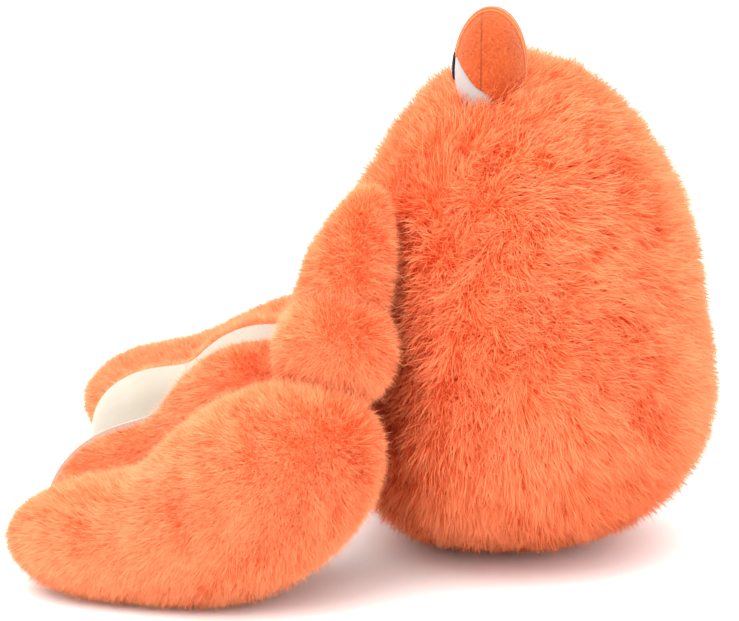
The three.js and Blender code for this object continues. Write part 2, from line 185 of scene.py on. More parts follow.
# Knitted backing or short nap: two noises tint it, the finer one also lifts the surface.
def napMaterial(name, look):
    material, nodes, links, shader = newMaterial(name)
    place = nodes.new("ShaderNodeTexCoord")
    patches = nodes.new("ShaderNodeTexNoise")
    patches.inputs["Scale"].default_value = look["patchScale"]
    patches.inputs["Detail"].default_value = 4
    links.new(place.outputs["Object"], patches.inputs["Vector"])
    fibres = nodes.new("ShaderNodeTexNoise")
    fibres.inputs["Scale"].default_value = look["fibreScale"]
    fibres.inputs["Detail"].default_value = 3
    fibres.inputs["Distortion"].default_value = 0.6
    links.new(place.outputs["Object"], fibres.inputs["Vector"])
    both = nodes.new("ShaderNodeMix")
    both.data_type = "FLOAT"
    both.inputs["Factor"].default_value = look["fibreShare"]
    links.new(patches.outputs["Fac"], both.inputs["A"])
    links.new(fibres.outputs["Fac"], both.inputs["B"])
    shades = [(0.3, look["dark"]), (0.5, look["middle"]), (0.7, look["pale"])]
    colour = ramp(nodes, links, both.outputs["Result"], shades)
    # painted lines of shade and highlight
    for axis, at, width, tint in look.get("paintedLines", []):
        colour = paintedLine(nodes, links, place.outputs["Object"], colour, axis, at, width, tint)
    links.new(colour, shader.inputs["Base Color"])
    rough = nodes.new("ShaderNodeMapRange")
    rough.inputs["To Min"].default_value = 0.95
    rough.inputs["To Max"].default_value = 0.75
    links.new(fibres.outputs["Fac"], rough.inputs["Value"])
    links.new(rough.outputs["Result"], shader.inputs["Roughness"])
    lift = nodes.new("ShaderNodeBump")
    lift.inputs["Strength"].default_value = look["liftStrength"]
    lift.inputs["Distance"].default_value = look["lift"] * toMetres
    links.new(fibres.outputs["Fac"], lift.inputs["Height"])
    links.new(lift.outputs["Normal"], shader.inputs["Normal"])
    shader.inputs["Specular IOR Level"].default_value = 0.2
    shader.inputs["Sheen Weight"].default_value = look["sheen"]
    shader.inputs["Sheen Roughness"].default_value = 0.5
    shader.inputs["Sheen Tint"].default_value = (*look["sheenTint"], 1)
    return material


longPile = pileMaterial("longPile", {
    "root": (0.95, 0.20, 0.055), "middle": (0.985, 0.29, 0.10), "tip": (1.0, 0.46, 0.24),
    "darkTone": (0.90, 0.70, 0.58), "paleTone": (1.0, 1.0, 1.0), "through": 0.38,
})
shortPile = pileMaterial("shortPile", {
    "root": (0.92, 0.22, 0.07), "middle": (0.985, 0.34, 0.135), "tip": (1.0, 0.50, 0.27),
    "darkTone": (0.95, 0.82, 0.72), "paleTone": (1.0, 1.0, 1.0), "through": 0.3,
})
backing = napMaterial("pileBacking", {
    "dark": (0.95, 0.20, 0.05), "middle": (0.97, 0.23, 0.065), "pale": (0.98, 0.27, 0.085),
    "patchScale": 40, "fibreScale": 1400, "fibreShare": 0.5, "lift": 0.4, "liftStrength": 0.5,
    "sheen": 0.2, "sheenTint": (1.0, 0.6, 0.4),
})
lidNap = napMaterial("lidNap", {
    "dark": (0.27, 0.030, 0.004), "middle": (0.37, 0.052, 0.008), "pale": (0.47, 0.088, 0.019),
    "patchScale": 90, "fibreScale": 800, "fibreShare": 0.75, "lift": 0.5, "liftStrength": 0.8,
    "sheen": 0.5, "sheenTint": (1.0, 0.62, 0.35),
    # painted shade along the dart's groove between the lid panels, and a painted highlight along the ridge over the
    # top
    "paintedLines": [("Y", 23, 0.5, (0.27, 0.030, 0.004)), ("X", 48, 0.9, (0.60, 0.17, 0.05))],
})
creamNap = napMaterial("creamNap", {
    "dark": (0.365, 0.32, 0.26), "middle": (0.39, 0.345, 0.285), "pale": (0.42, 0.375, 0.315),
    "patchScale": 45, "fibreScale": 1800, "fibreShare": 0.35, "lift": 0.2, "liftStrength": 0.35,
    "sheen": 0.3, "sheenTint": (1.0, 0.95, 0.88),
})
whiteNap = napMaterial("whiteNap", {
    "dark": (0.30, 0.28, 0.27), "middle": (0.335, 0.315, 0.305), "pale": (0.37, 0.35, 0.34),
    "patchScale": 60, "fibreScale": 1900, "fibreShare": 0.5, "lift": 0.25, "liftStrength": 0.4,
    "sheen": 0.3, "sheenTint": (1.0, 1.0, 1.0),
})
blackFelt = napMaterial("blackFelt", {
    "dark": (0.006, 0.006, 0.007), "middle": (0.011, 0.011, 0.012), "pale": (0.022, 0.021, 0.021),
    "patchScale": 90, "fibreScale": 1700, "fibreShare": 0.6, "lift": 0.3, "liftStrength": 0.6,
    "sheen": 0.2, "sheenTint": (0.6, 0.6, 0.6),
})
paleFloor = napMaterial("paleFloor", {
    "dark": (0.93, 0.93, 0.925), "middle": (0.94, 0.94, 0.935), "pale": (0.95, 0.95, 0.945),
    "patchScale": 3, "fibreScale": 600, "fibreShare": 0.3, "lift": 0.05, "liftStrength": 0.1,
    "sheen": 0.0, "sheenTint": (1.0, 1.0, 1.0),
})
print("materials made")


# Meshes and skins

# A closed mesh or a bunch of strands from whole arrays of points and triangles, with an own UV map if one is given.
def putMesh(name, points, tris, material, uv=None, normals=None):
    mesh = bpy.data.meshes.new(name)
    mesh.vertices.add(len(points))
    mesh.vertices.foreach_set("co", (points * toMetres).astype(np.float32).ravel())
    mesh.loops.add(tris.size)
    mesh.loops.foreach_set("vertex_index", tris.astype(np.int32).ravel())
    mesh.polygons.add(len(tris))
    mesh.polygons.foreach_set("loop_start", np.arange(0, tris.size, 3, dtype=np.int32))
    mesh.polygons.foreach_set("use_smooth", np.ones(len(tris), dtype=bool))
    mesh.update(calc_edges=True)
    if uv is not None:
        layer = mesh.uv_layers.new(name="OFBake")
        layer.uv.foreach_set("vector", uv[tris.ravel()].astype(np.float32).ravel())
    if normals is not None:
        mesh.normals_split_custom_set_from_vertices(normals.tolist())
    mesh.materials.append(material)
    piece = bpy.data.objects.new(name, mesh)
    bpy.context.scene.collection.objects.link(piece)
    return piece


# Rings between two poles: point 0, then ring after ring, then the last point.
def ringFaces(rings, facets):
    ring = np.arange(rings - 1)[:, None] * facets + 1
    here = ring + np.arange(facets)
    after = ring + (np.arange(facets) + 1) % facets
    last = rings * facets + 1
    quads = np.stack([here, after, here + facets, after, after + facets, here + facets], -1).reshape(-1, 3)
    first = np.arange(facets) + 1
    firstNext = (np.arange(facets) + 1) % facets + 1
    end = first + (rings - 1) * facets
    endNext = firstNext + (rings - 1) * facets
    caps = np.concatenate([
        np.stack([np.zeros(facets, int), firstNext, first], -1),
        np.stack([np.full(facets, last), end, endNext], -1),
    ])
    return np.concatenate([quads, caps])


# Points, triangles facing out, and normals weighted by the area round each point.
def skinOf(points, tris):
    corner = points[tris]
    cross = np.cross(corner[:, 1] - corner[:, 0], corner[:, 2] - corner[:, 0])
    if (corner[:, 0] * cross).sum() < 0:
        tris = tris[:, ::-1]
        cross = -cross
    sums = [np.bincount(tris.ravel(), np.repeat(cross[:, k], 3), len(points)) for k in range(3)]
    return {"points": points, "tris": tris, "normals": unit(np.stack(sums, 1))}


def mirroredSkin(skin):
    turn = np.array([-1, 1, 1])
    return {"points": skin["points"] * turn, "tris": skin["tris"][:, ::-1], "normals": skin["normals"] * turn}


# Where each ray from a core crosses the level's zero, by even steps and then halvings: the first crossing,
# or the last one for a skin that is looked at from far out.
def crossing(level, start, ways, farthest, outermost=False, steps=96, halvings=18):
    reach = np.linspace(0, farthest, steps)
    places = start[..., None, :] + ways[..., None, :] * reach[:, None]
    outside = level(places.reshape(-1, 3)).reshape(places.shape[:-1]) > 0
    outside[..., -1] = True
    if outermost:
        index = (steps - (~outside)[..., ::-1].argmax(-1)) % steps
    else:
        index = outside.argmax(-1)
    inner, outer = reach[np.maximum(index - 1, 0)], reach[index]
    for _ in range(halvings):
        middle = (inner + outer) / 2
        out = level((start + ways * middle[..., None]).reshape(-1, 3)).reshape(middle.shape) > 0
        inner, outer = np.where(out, inner, middle), np.where(out, middle, outer)
    return inner


# A closed skin round a core: direction by polar angle from +Y and turn about it, distance by the last crossing.
def raySkin(level, core, rings, facets, farthest):
    polar = np.pi * np.arange(1, rings + 1)[:, None] / (rings + 1)
    turn = 2 * np.pi * np.arange(facets) / facets
    ways = np.stack([np.sin(polar) * np.cos(turn), np.cos(polar) + 0 * turn, np.sin(polar) * np.sin(turn)], -1)
    ways = np.concatenate([[[0, 1, 0]], ways.reshape(-1, 3), [[0, -1, 0]]])
    start = np.broadcast_to(np.asarray(core, float), ways.shape)
    points = start + ways * crossing(level, start, ways, farthest, outermost=True)[:, None]
    return skinOf(points, ringFaces(rings, facets))


# Smooth random vectors: ten plane waves of about one size, each with its own way, phase and push.
def waves(points, size, seed):
    rng = np.random.default_rng(seed)
    ways = unit(rng.normal(size=(10, 3))) * (2 * np.pi / (size * rng.uniform(0.7, 1.4, (10, 1))))
    return np.sin(points @ ways.T + rng.uniform(0, 2 * np.pi, 10)) @ rng.normal(size=(10, 3)) * 0.45


# A combing way for each point: a main way with smooth swirls added, each of a share, a size and a seed.
def swirled(way, swirls, p):
    for share, size, seed in swirls:
        way = way + share * waves(p, size, seed)
    return way


strand = {
    "leastRise": 0.25, "shortest": 0.62, "longest": 1.14, "aboveFloor": 0.5, "patchSize": 70, "patchSeed": 5,
    "tone": 0.55, "toneByTuft": 0.12, "toneByStrand": 0.12, "toneAcross": 0.012, "toneRange": (0.03, 0.97),
    "paintedShadeBelow": 100, "rootV": 0.02, "spanV": 0.96, "trianglesPerPiece": 180000,
}


# Pile: strands rooted evenly over the skin's triangles. Each is root + length * (t * lean + t^2 * sweep),
# drawn towards the middle of its tuft, as a tapering ribbon whose flat side faces out of the skin.
def growPile(name, skin, pile, combed, trim, material, mirror=False):
    rng = np.random.default_rng(pile["seed"])
    corner = skin["points"][skin["tris"]]
    area = np.linalg.norm(np.cross(corner[:, 1] - corner[:, 0], corner[:, 2] - corner[:, 0]), axis=1) / 2
    count = int(area.sum() * pile["perSquareMm"])
    pick = np.searchsorted(np.cumsum(area) / area.sum(), rng.random(count)).clip(0, len(area) - 1)
    a, b = np.sqrt(rng.random(count)), rng.random(count)
    share = np.stack([1 - a, a * (1 - b), a * b], 1)[:, :, None]
    root = (corner[pick] * share).sum(1)
    normal = unit((skin["normals"][skin["tris"][pick]] * share).sum(1))
    trimmed = trim(root)
    kept = trimmed > 0
    root, normal, trimmed = root[kept], normal[kept], trimmed[kept]
    count = len(root)

    size = pile["tuft"]
    cell = np.floor((root + 0.7 * size * waves(root, 2.3 * size, pile["seed"] + 1)) / size).astype(np.int64)
    _, tuft = np.unique(cell @ np.array([1, 5003, 25030009]), return_inverse=True)
    tufts = tuft.max() + 1
    members = np.bincount(tuft)[:, None]
    middle = np.stack([np.bincount(tuft, root[:, k]) for k in range(3)], 1) / members
    tuftLean = rng.normal(size=(tufts, 3))
    tuftLong = rng.uniform(1 - pile["uneven"], 1 + pile["uneven"], tufts)

    flow = combed(root)
    flow = flow - normal * (flow * normal).sum(1, keepdims=True)
    lean = unit(
        normal * pile["upright"] + flow * pile["lay"]
        + tuftLean[tuft] * pile["tuftWild"] + rng.normal(size=(count, 3)) * pile["stray"]
    )
    lean = unit(lean + normal * np.maximum(strand["leastRise"] - (lean * normal).sum(1, keepdims=True), 0))
    length = pile["length"] * trimmed * tuftLong[tuft] * rng.uniform(strand["shortest"], strand["longest"], count)
    length = (length * np.where(rng.random(count) < pile["longShare"], pile["longBy"], 1))[:, None]
    sweep = flow * pile["sweep"] + np.array([0, 0, -1]) * pile["droop"]
    gather = (middle[tuft] - root) * pile["gather"]
    across = np.cross(lean, normal) + pile["twist"] * rng.normal(size=(count, 3))
    across = unit(across - lean * (across * lean).sum(1, keepdims=True))
    flat = np.cross(across, lean)
    outward = np.where((flat * normal).sum(1, keepdims=True) < 0, -1, 1)
    across, facing = across * outward, unit(flat * outward + pile["soften"] * normal)

    steps = np.array(pile["steps"])
    wide = pile["width"] * pile["taper"] / 2
    rows, normals, uvs = [], [], []
    tone = strand["tone"] + pile["patchy"] * waves(root, strand["patchSize"], strand["patchSeed"])[:, 0]
    tone = tone + strand["toneByTuft"] * tuftLean[tuft][:, 0]
    tone = tone + strand["toneByStrand"] * rng.normal(size=count)
    # painted shade: strands rooted near the floor get a darker tone, more so the lower they are
    tone = tone - pile["paintedShadeAtBase"] * np.clip(1 - root[:, 2] / strand["paintedShadeBelow"], 0, 1)
    tone = tone.clip(*strand["toneRange"])
    for i, t in enumerate(steps):
        line = root + length * (t * lean + t * t * sweep) + gather * t ** 1.3
        line[:, 2] = np.maximum(line[:, 2], strand["aboveFloor"])
        sides = (-1, 1) if i < len(steps) - 1 else (0,)
        for side in sides:
            rows.append(line + across * wide[i] * side)
            v = np.full(count, strand["rootV"] + strand["spanV"] * t)
            uvs.append(np.stack([tone + strand["toneAcross"] * side, v], 1))
            normals.append(facing)
    per = len(rows)
    points = np.stack(rows, 1)
    uv = np.stack(uvs, 1)
    facingAll = np.stack(normals, 1)
    if mirror:
        points = points * np.array([-1, 1, 1])
        facingAll = facingAll * np.array([-1, 1, 1])
    face = []
    for i in range(len(steps) - 2):
        face += [(2 * i, 2 * i + 1, 2 * i + 3), (2 * i, 2 * i + 3, 2 * i + 2)]
    face.append((per - 3, per - 2, per - 1))
    face = np.array(face)[:, ::-1] if mirror else np.array(face)

    made = []
    parts = int(np.ceil(count * len(face) / strand["trianglesPerPiece"]))
    band = np.argsort(root[:, 1], kind="stable")
    for k, strands in enumerate(np.array_split(band, parts)):
        tris = (face + per * np.arange(len(strands))[:, None, None]).reshape(-1, 3)
        label = name if parts == 1 else f"{name}{k + 1}"
        made.append(putMesh(label, points[strands].reshape(-1, 3), tris, material,
                            uv[strands].reshape(-1, 2), facingAll[strands].reshape(-1, 3)))
        print("pile", label, len(strands), "strands", len(tris), "triangles")
    return made


# Body

bodyShape = {
    "width": 240, "depth": 188, "height": 248, "waist": 78, "baseDepth": 62, "lean": 8, "crownPower": 2.2,
    "sunk": 9.5, "fullerAtBase": 3, "rings": 110, "facets": 160,
    "fullness": [
        {"y": -57, "z": 212, "radius": 38, "deeper": 3.5}, {"y": 32, "z": 232, "radius": 38, "deeper": 2.8},
        {"y": 80, "z": 165, "radius": 35, "deeper": -2}, {"y": 95, "z": 84, "radius": 35, "deeper": -3},
        {"y": -64, "z": 6, "radius": 40, "deeper": -11},
    ],
}
bodyPile = {
    "seed": 11, "perSquareMm": 2.0, "length": 13, "width": 0.38, "steps": (0, 0.5, 1),
    "taper": np.array([0.8, 1.0, 0]), "tuft": 4, "gather": 0.2, "uneven": 0.2,
    "upright": 0.75, "lay": 0.42, "tuftWild": 0.2, "stray": 0.26, "sweep": 0.12, "droop": 0.05,
    "twist": 0.3, "soften": 0.8, "patchy": 0.16, "paintedShadeAtBase": 0.4, "longShare": 0.04, "longBy": 1.25,
    "whorl": (0, -105, 195), "swirls": [(0.4, 75, 21), (0.35, 22, 22)],
    "bareBelow": 2, "shortAtBase": 0.38, "shortFrom": 4, "shortOver": 36,
}
basePanel = {
    "width": 66, "depth": 52, "thickness": 4, "crown": 0.9, "lifted": 0.15,
    "facets": 72, "lowerRings": 13, "upperRings": 11,
}


# Below zero inside the body: an oval of powers above the waist and an ellipse below it, in a leaning frame.
def bodyLevel(p):
    s = bodyShape
    side = np.hypot(p[:, 0] / (s["width"] / 2), (p[:, 1] + s["lean"] * p[:, 2] / s["height"]) / (s["depth"] / 2))
    rise = (p[:, 2] - s["waist"]) / (s["height"] - s["waist"])
    lowerReach = s["waist"] / np.sqrt(1 - (s["baseDepth"] / s["depth"]) ** 2)
    power = s["crownPower"]
    upper = (side ** power + np.maximum(rise, 0) ** power) ** (1 / power)
    lower = np.hypot(side, (s["waist"] - p[:, 2]) / lowerReach)
    return np.where(rise > 0, upper, lower) - 1


# Distance from the body's surface, below zero inside: the level over the length of its slope.
def bodyDistance(p):
    step = 0.5
    slope = np.stack([bodyLevel(p + step * way) - bodyLevel(p - step * way) for way in np.eye(3)], 1) / (2 * step)
    return bodyLevel(p) / np.maximum(np.linalg.norm(slope, axis=1), 1e-3)


# Depth of the skin under the pile: less near the base, and changed by bell curves round places of the side view.
def bodySunk(p):
    s = bodyShape
    depth = s["sunk"] - s["fullerAtBase"] * np.clip(1 - p[:, 2] / 45, 0, 1)
    for spot in s["fullness"]:
        away = np.hypot(p[:, 1] - spot["y"], p[:, 2] - spot["z"]) / spot["radius"]
        depth = depth + spot["deeper"] * np.exp(-away ** 2)
    return depth


def makeBody():
    level = lambda p: np.maximum(bodyDistance(p) + bodySunk(p), 1.2 - p[:, 2])
    skin = raySkin(level, (0, -4, 100), bodyShape["rings"], bodyShape["facets"], 220)
    cover = putMesh("bodySkin", skin["points"], skin["tris"], backing)
    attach(cover, "body")
    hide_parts("left_body_cover", "right_body_cover", "body_stuffing", "pellet_bag")

    # away from a whorl in front of the face
    def combed(p):
        return swirled(unit(p - np.array(bodyPile["whorl"])), bodyPile["swirls"], p)

    # shorter towards the base and none under it
    def trim(p):
        grown = np.clip((p[:, 2] - bodyPile["shortFrom"]) / bodyPile["shortOver"], 0, 1)
        least = bodyPile["shortAtBase"]
        return np.where(p[:, 2] > bodyPile["bareBelow"], least + (1 - least) * grown, 0)

    for piece in growPile("bodyPile", skin, bodyPile, combed, trim, longPile):
        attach(piece, "body")


# The sewn panel underneath: an oval cushion, flat below, whose rim is rounded by a quarter ellipse.
def makeBasePanel():
    b = basePanel
    outwards, inwards = np.linspace(0, 1, b["lowerRings"] + 1)[1:], np.linspace(1, 0, b["upperRings"] + 2)[1:-1]
    share = np.concatenate([outwards, inwards])
    rings, facets = len(share), b["facets"]
    upper = np.arange(rings) >= b["lowerRings"]
    turn = 2 * np.pi * np.arange(facets) / facets
    rise = np.where(upper, b["thickness"] * np.sqrt(np.maximum(1 - share ** 2, 0)) * b["crown"], 0)
    x = share[:, None] * b["width"] / 2 * np.cos(turn)
    y = share[:, None] * b["depth"] / 2 * np.sin(turn)
    ring = np.stack([x, y, rise[:, None] + 0 * x + b["lifted"]], -1).reshape(-1, 3)
    points = np.concatenate([[[0, 0, b["lifted"]]], ring, [[0, 0, b["thickness"]]]])
    skin = skinOf(points, ringFaces(rings, facets))
    panel = putMesh("basePanelCloth", skin["points"], skin["tris"], backing)
    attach(panel, "body")
    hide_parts("base_panel")


makeBody()
makeBasePanel()
print("body made")


# Eyes

eye = {
    "spacing": 80, "forward": 19, "width": 42, "depth": 36, "height": 60, "top": 266.9,
    "lidDropAtFront": 20, "lidDropAtMiddle": 42, "lidSeamForward": 4, "whiteSunk": 1.0, "lidThickness": 2.0,
    "lidBulge": 4.4, "groove": 0.45, "grooveWidth": 0.8, "grooveStart": 6, "grooveFade": 8, "seamGap": 0.02,
    "ridgeOutward": 8, "ridge": 0.7, "ridgeWidth": 0.9, "pupil": 14, "pupilDrop": 28, "pupilInward": 4,
    "pupilThickness": 0.4, "pupilUnder": 0.6, "pupilRings": 16, "pupilFacets": 48, "lidLowest": 50, "ridgeShade": 0.8,
}


def eyeCentre():
    e = eye
    return np.array([e["spacing"] / 2, -e["forward"], e["top"] - e["height"] / 2])


# An ellipsoid about the eye's centre, its points moved in along their normals by what sunk gives. Each meridian
# runs from the top down to the polar angle that ends gives for its turn.
def eyeDome(sunk, ends=lambda turn: np.full(len(turn), np.pi), rings=90, facets=120):
    e = eye
    half = np.array([e["width"], e["depth"], e["height"]]) / 2
    turn = 2 * np.pi * np.arange(facets) / facets
    polar = np.arange(1, rings + 1)[:, None] / (rings + 1) * ends(turn)
    ball = np.stack([np.sin(polar) * np.cos(turn), np.sin(polar) * np.sin(turn), np.cos(polar)], -1)
    ball = np.concatenate([[[0, 0, 1]], ball.reshape(-1, 3), [[0, 0, -1]]])
    points = eyeCentre() + ball * half
    points = points - unit(ball / half) * sunk(points)[:, None]
    return skinOf(points, ringFaces(rings, facets))


# The lid's lower edge: its drop under the top follows a line from front to middle, bulged by a half sine, and
# goes on to the base behind. Halvings of the polar angle find it for each turn.
def lidEnds(turn):
    e = eye
    low, high = np.zeros(len(turn)), np.full(len(turn), np.pi)
    for _ in range(30):
        polar = (low + high) / 2
        ahead = np.sin(polar) * np.sin(turn)
        drop = e["height"] / 2 * (1 - np.cos(polar))
        line = e["lidDropAtMiddle"] + (e["lidDropAtMiddle"] - e["lidDropAtFront"]) * ahead
        line = line + e["lidBulge"] * np.sin(np.pi * np.clip(-ahead, 0, 1))
        above = drop < np.minimum(line, e["lidLowest"])
        low, high = np.where(above, polar, low), np.where(above, high, polar)
    return low


def cutSkin(piece, cuts):
    build = bmesh.new()
    build.from_mesh(piece.data)
    for place, away in cuts:
        every = build.verts[:] + build.edges[:] + build.faces[:]
        bmesh.ops.bisect_plane(build, geom=every, plane_co=Vector(place) * toMetres, plane_no=Vector(away),
                               clear_outer=True)
    build.to_mesh(piece.data)
    build.free()


def addShell(piece, thickness):
    shell = piece.modifiers.new("cloth", "SOLIDIFY")
    shell.thickness = thickness * toMetres
    shell.offset = -1
    shell.use_even_offset = False


def makeEye(side):
    mirror = side == "right"
    sign = -1 if mirror else 1
    e = eye
    centre = eyeCentre()
    seamY = centre[1] - e["lidSeamForward"]
    put = lambda skin: mirroredSkin(skin) if mirror else skin

    white = put(eyeDome(lambda p: np.full(len(p), e["whiteSunk"])))
    whitePiece = putMesh(f"{side}EyeWhite", white["points"], white["tris"], whiteNap)
    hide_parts(f"{side}_eye_white", f"{side}_eye_stuffing")

    # bell curves of the distance: the cloth dips at the dart and stands up in a ridge at the seam over the top
    def dips(p):
        dart = np.exp(-((p[:, 1] - seamY) / e["grooveWidth"]) ** 2)
        dart = dart * np.clip((e["top"] - e["grooveStart"] - p[:, 2]) / e["grooveFade"], 0, 1)
        out = (p[:, 0] - centre[0] - e["ridgeOutward"]) / e["ridgeWidth"]
        ridge = np.exp(-out ** 2) - e["ridgeShade"] * np.exp(-(out + 2) ** 2)
        return e["groove"] * dart - e["ridge"] * ridge

    lid = eyeDome(dips, lidEnds)
    last = len(lid["points"]) - 1
    lid["tris"] = lid["tris"][(lid["tris"] != last).all(1)]
    lid = put(lid)
    for label, node, way in (("EyelidFront", "eyelid_front", 1), ("EyelidBack", "eyelid_back", -1)):
        panel = putMesh(f"{side}{label}", lid["points"], lid["tris"], lidNap)
        cutSkin(panel, [((centre[0] * sign, seamY - e["seamGap"] * way, 0), (0, way, 0))])
        addShell(panel, e["lidThickness"])
        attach(panel, "body")
        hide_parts(f"{side}_{node}")

    # the pupil: a disc laid on the dome, its rim rounded by a quarter ellipse
    rings, facets = e["pupilRings"], e["pupilFacets"]
    share = np.sin(np.linspace(0, np.pi / 2, rings + 1))[1:]
    turn = 2 * np.pi * np.arange(facets) / facets
    dx = share[:, None] * np.cos(turn) * e["pupil"] / 2 - e["pupilInward"]
    dz = share[:, None] * np.sin(turn) * e["pupil"] / 2
    thick = e["pupilThickness"] * np.maximum(1 - share ** 6, 0)[:, None] ** 0.5 + 0 * dx
    pole = np.array([[0.0]])

    def onDome(x, z, out):
        z = z + e["top"] - e["pupilDrop"]
        flat = 1 - (x / (e["width"] / 2)) ** 2 - ((z - centre[2]) / (e["height"] / 2)) ** 2
        y = centre[1] - e["depth"] / 2 * np.sqrt(np.maximum(flat, 0)) - out
        return np.stack([x + centre[0], y, z], -1).reshape(-1, 3)

    points = np.concatenate([
        onDome(pole - e["pupilInward"], pole, e["pupilThickness"]), onDome(dx, dz, thick),
        onDome(dx[-2::-1], dz[-2::-1], -e["pupilUnder"] + 0 * dx[:-1]),
        onDome(pole - e["pupilInward"], pole, -e["pupilUnder"]),
    ])
    disc = put(skinOf(points, ringFaces(2 * rings - 1, facets)))
    pupil = putMesh(f"{side}Pupil", disc["points"], disc["tris"], blackFelt)
    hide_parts(f"{side}_pupil")
    for piece, slot in ((whitePiece, "white"), (pupil, "felt")):
        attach(piece, "body")


for side in ("left", "right"):
    makeEye(side)
print("eyes made")


# Arms

arm = {
    "shoulderAngle": 44, "shoulderHeight": 168, "elbowOut": 39, "elbowAside": 14.5, "elbowDrop": 56,
    "rise": 70.5, "standOff": 5, "topAhead": 6, "forward": 5, "diameter": 41, "taper": 0.28, "elbowDiameter": 58,
    "elbowPlay": 0.9, "sunk": 4, "padSunk": 1.5, "bodyRoom": 4, "rings": 60, "facets": 72,
    "topShare": 0.62, "bottomShare": 0.38, "comb": (0.1, -0.25, -0.9), "swirls": [(0.25, 30, 41), (0.22, 12, 42)],
}
limbPile = {
    "seed": 31, "perSquareMm": 5.8, "length": 5.6, "width": 0.33, "steps": (0, 1),
    "taper": np.array([1.0, 0]), "tuft": 2.4, "gather": 0.15, "uneven": 0.10,
    "upright": 0.85, "lay": 0.38, "tuftWild": 0.10, "stray": 0.22, "sweep": 0.0, "droop": 0.0,
    "twist": 0.25, "soften": 0.8, "patchy": 0.05, "paintedShadeAtBase": 0.0, "longShare": 0.12, "longBy": 1.5,
}


# The shoulder lies on the crown; the elbow hangs out and aside from it. All for the crab's left.
def armPlaces():
    s, g = bodyShape, arm
    rise = (g["shoulderHeight"] - s["waist"]) / (s["height"] - s["waist"])
    share = (1 - rise ** s["crownPower"]) ** (1 / s["crownPower"])
    wide, deep = s["width"] / 2 * share, s["depth"] / 2 * share
    turn = np.radians(g["shoulderAngle"])
    place = np.array([wide * np.sin(turn), -deep * np.cos(turn), g["shoulderHeight"]])
    level = unit(np.array([place[0] / wide ** 2, place[1] / deep ** 2, 0]))
    aside = np.array([-level[1], level[0], 0])
    place[1] -= s["lean"] * g["shoulderHeight"] / s["height"]
    elbow = place + level * g["elbowOut"] + aside * g["elbowAside"]
    elbow[2] = g["shoulderHeight"] - g["elbowDrop"]
    top = place + level * g["standOff"] - aside * g["topAhead"]
    top[2] = elbow[2] + g["rise"]
    bottom = elbow + level * g["forward"]
    return elbow, top, bottom


elbowPlace, armTop, armBottom = armPlaces()


# Below zero inside the pad: distance from its length less radius * sin(turn) * (1 - taper * cos(turn)).
def armLevel(p):
    g = arm
    length = np.linalg.norm(armTop - armBottom)
    axis = unit(armTop - armBottom)
    rel = p - (armTop + armBottom) / 2
    height = rel @ axis
    off = np.linalg.norm(rel - height[:, None] * axis, axis=1)
    along = height / (length / 2 - g["padSunk"])
    inside = np.clip(along, -1, 1)
    radius = (g["diameter"] / 2 - g["padSunk"]) / (1 + g["taper"] ** 2) * np.sqrt(1 - inside ** 2)
    radius = radius * (1 - g["taper"] * inside)
    pad = np.where(np.abs(along) < 1, off - radius, off + (np.abs(along) - 1) * length / 2)
    ballRoom = g["elbowDiameter"] / 2 - g["sunk"] + g["elbowPlay"] - np.linalg.norm(p - elbowPlace, axis=1)
    return np.maximum(np.maximum(pad, ballRoom), -bodyDistance(p) - g["bodyRoom"])


def elbowLevel(p):
    return np.linalg.norm(p - elbowPlace, axis=1) - (arm["elbowDiameter"] / 2 - arm["sunk"])


def makeArm(side):
    mirror = side == "right"
    put = lambda skin: mirroredSkin(skin) if mirror else skin
    down = lambda p: swirled(np.array(arm["comb"]), arm["swirls"], p)
    everywhere = lambda p: np.ones(len(p))
    core = armTop * arm["topShare"] + armBottom * arm["bottomShare"]
    for part, level, start in (("UpperArm", armLevel, core), ("Elbow", elbowLevel, elbowPlace)):
        skin = raySkin(level, start, arm["rings"], arm["facets"], 80)
        shown = put(skin)
        cover = putMesh(f"{side}{part}Skin", shown["points"], shown["tris"], backing)
        node = "upper_arm" if part == "UpperArm" else "elbow"
        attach(cover, f"{side}_{node}")
        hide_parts(f"{side}_{node}_cover", f"{side}_{node}_stuffing")
        for piece in growPile(f"{side}{part}Pile", skin, limbPile, down, everywhere, shortPile, mirror):
            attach(piece, f"{side}_{node}")


for side in ("left", "right"):
    makeArm(side)
print("arms made")


# Claws

claw = {
    "mitten": {"size": (77, 122, 84), "tilt": 33, "lift": 7, "forward": 32, "outward": 25},
    "toe": {"size": (80, 106, 53), "forward": 66, "outward": 4},
    "rearFinger": {"size": (54, 106, 100), "lift": 13, "forward": 4, "inward": 36.5},
    "frontFinger": {"size": (44, 94, 76), "tilt": 20, "forward": 64, "inward": 3.5},
    "notchForward": 53, "blend": 3.5, "mittenBlend": 11, "coreInward": 0.7, "flat": 1.5, "bodyPlay": 3,
    "liningDepth": 26, "rimSunk": {"left": 1.2, "right": 2.2}, "linedSunk": 4,
    "innerSunk": 8, "notchOverlap": 1.2, "liningBack": 0.8, "liningRings": 56, "liningFacets": 160,
    "rimReach": 120, "bulgeReach": 60, "rimPower": 16, "gathers": 0.3,
    "comb": (0.15, -0.75, -0.6), "swirls": [(0.2, 40, 61), (0.22, 13, 62)], "awayShare": 0.5, "awayOver": 12,
    "bareAtSeam": 0.6, "shortAtSeam": 0.8, "shortOver": 9,
    "pressed": {
        "left": {"frontFinger": {"longer": -1, "lift": -5, "tilt": 2}},
        "right": {"toe": {"ahead": 5, "lift": -3, "tilt": 9}, "frontFinger": {"lift": -2, "tilt": 14},
                  "mitten": {"lift": -9, "tilt": -4}, "rearFinger": {"lift": 6, "tilt": 6}},
    },
    "roll": {"left": 0, "right": 25}, "pitch": {"left": 0, "right": 9}, "advance": {"left": 0, "right": 8},
    "drop": {"left": 0, "right": 5.4}, "sunk": 3.5, "rings": 140, "facets": 160,
}
clawPile = dict(limbPile, seed=51)


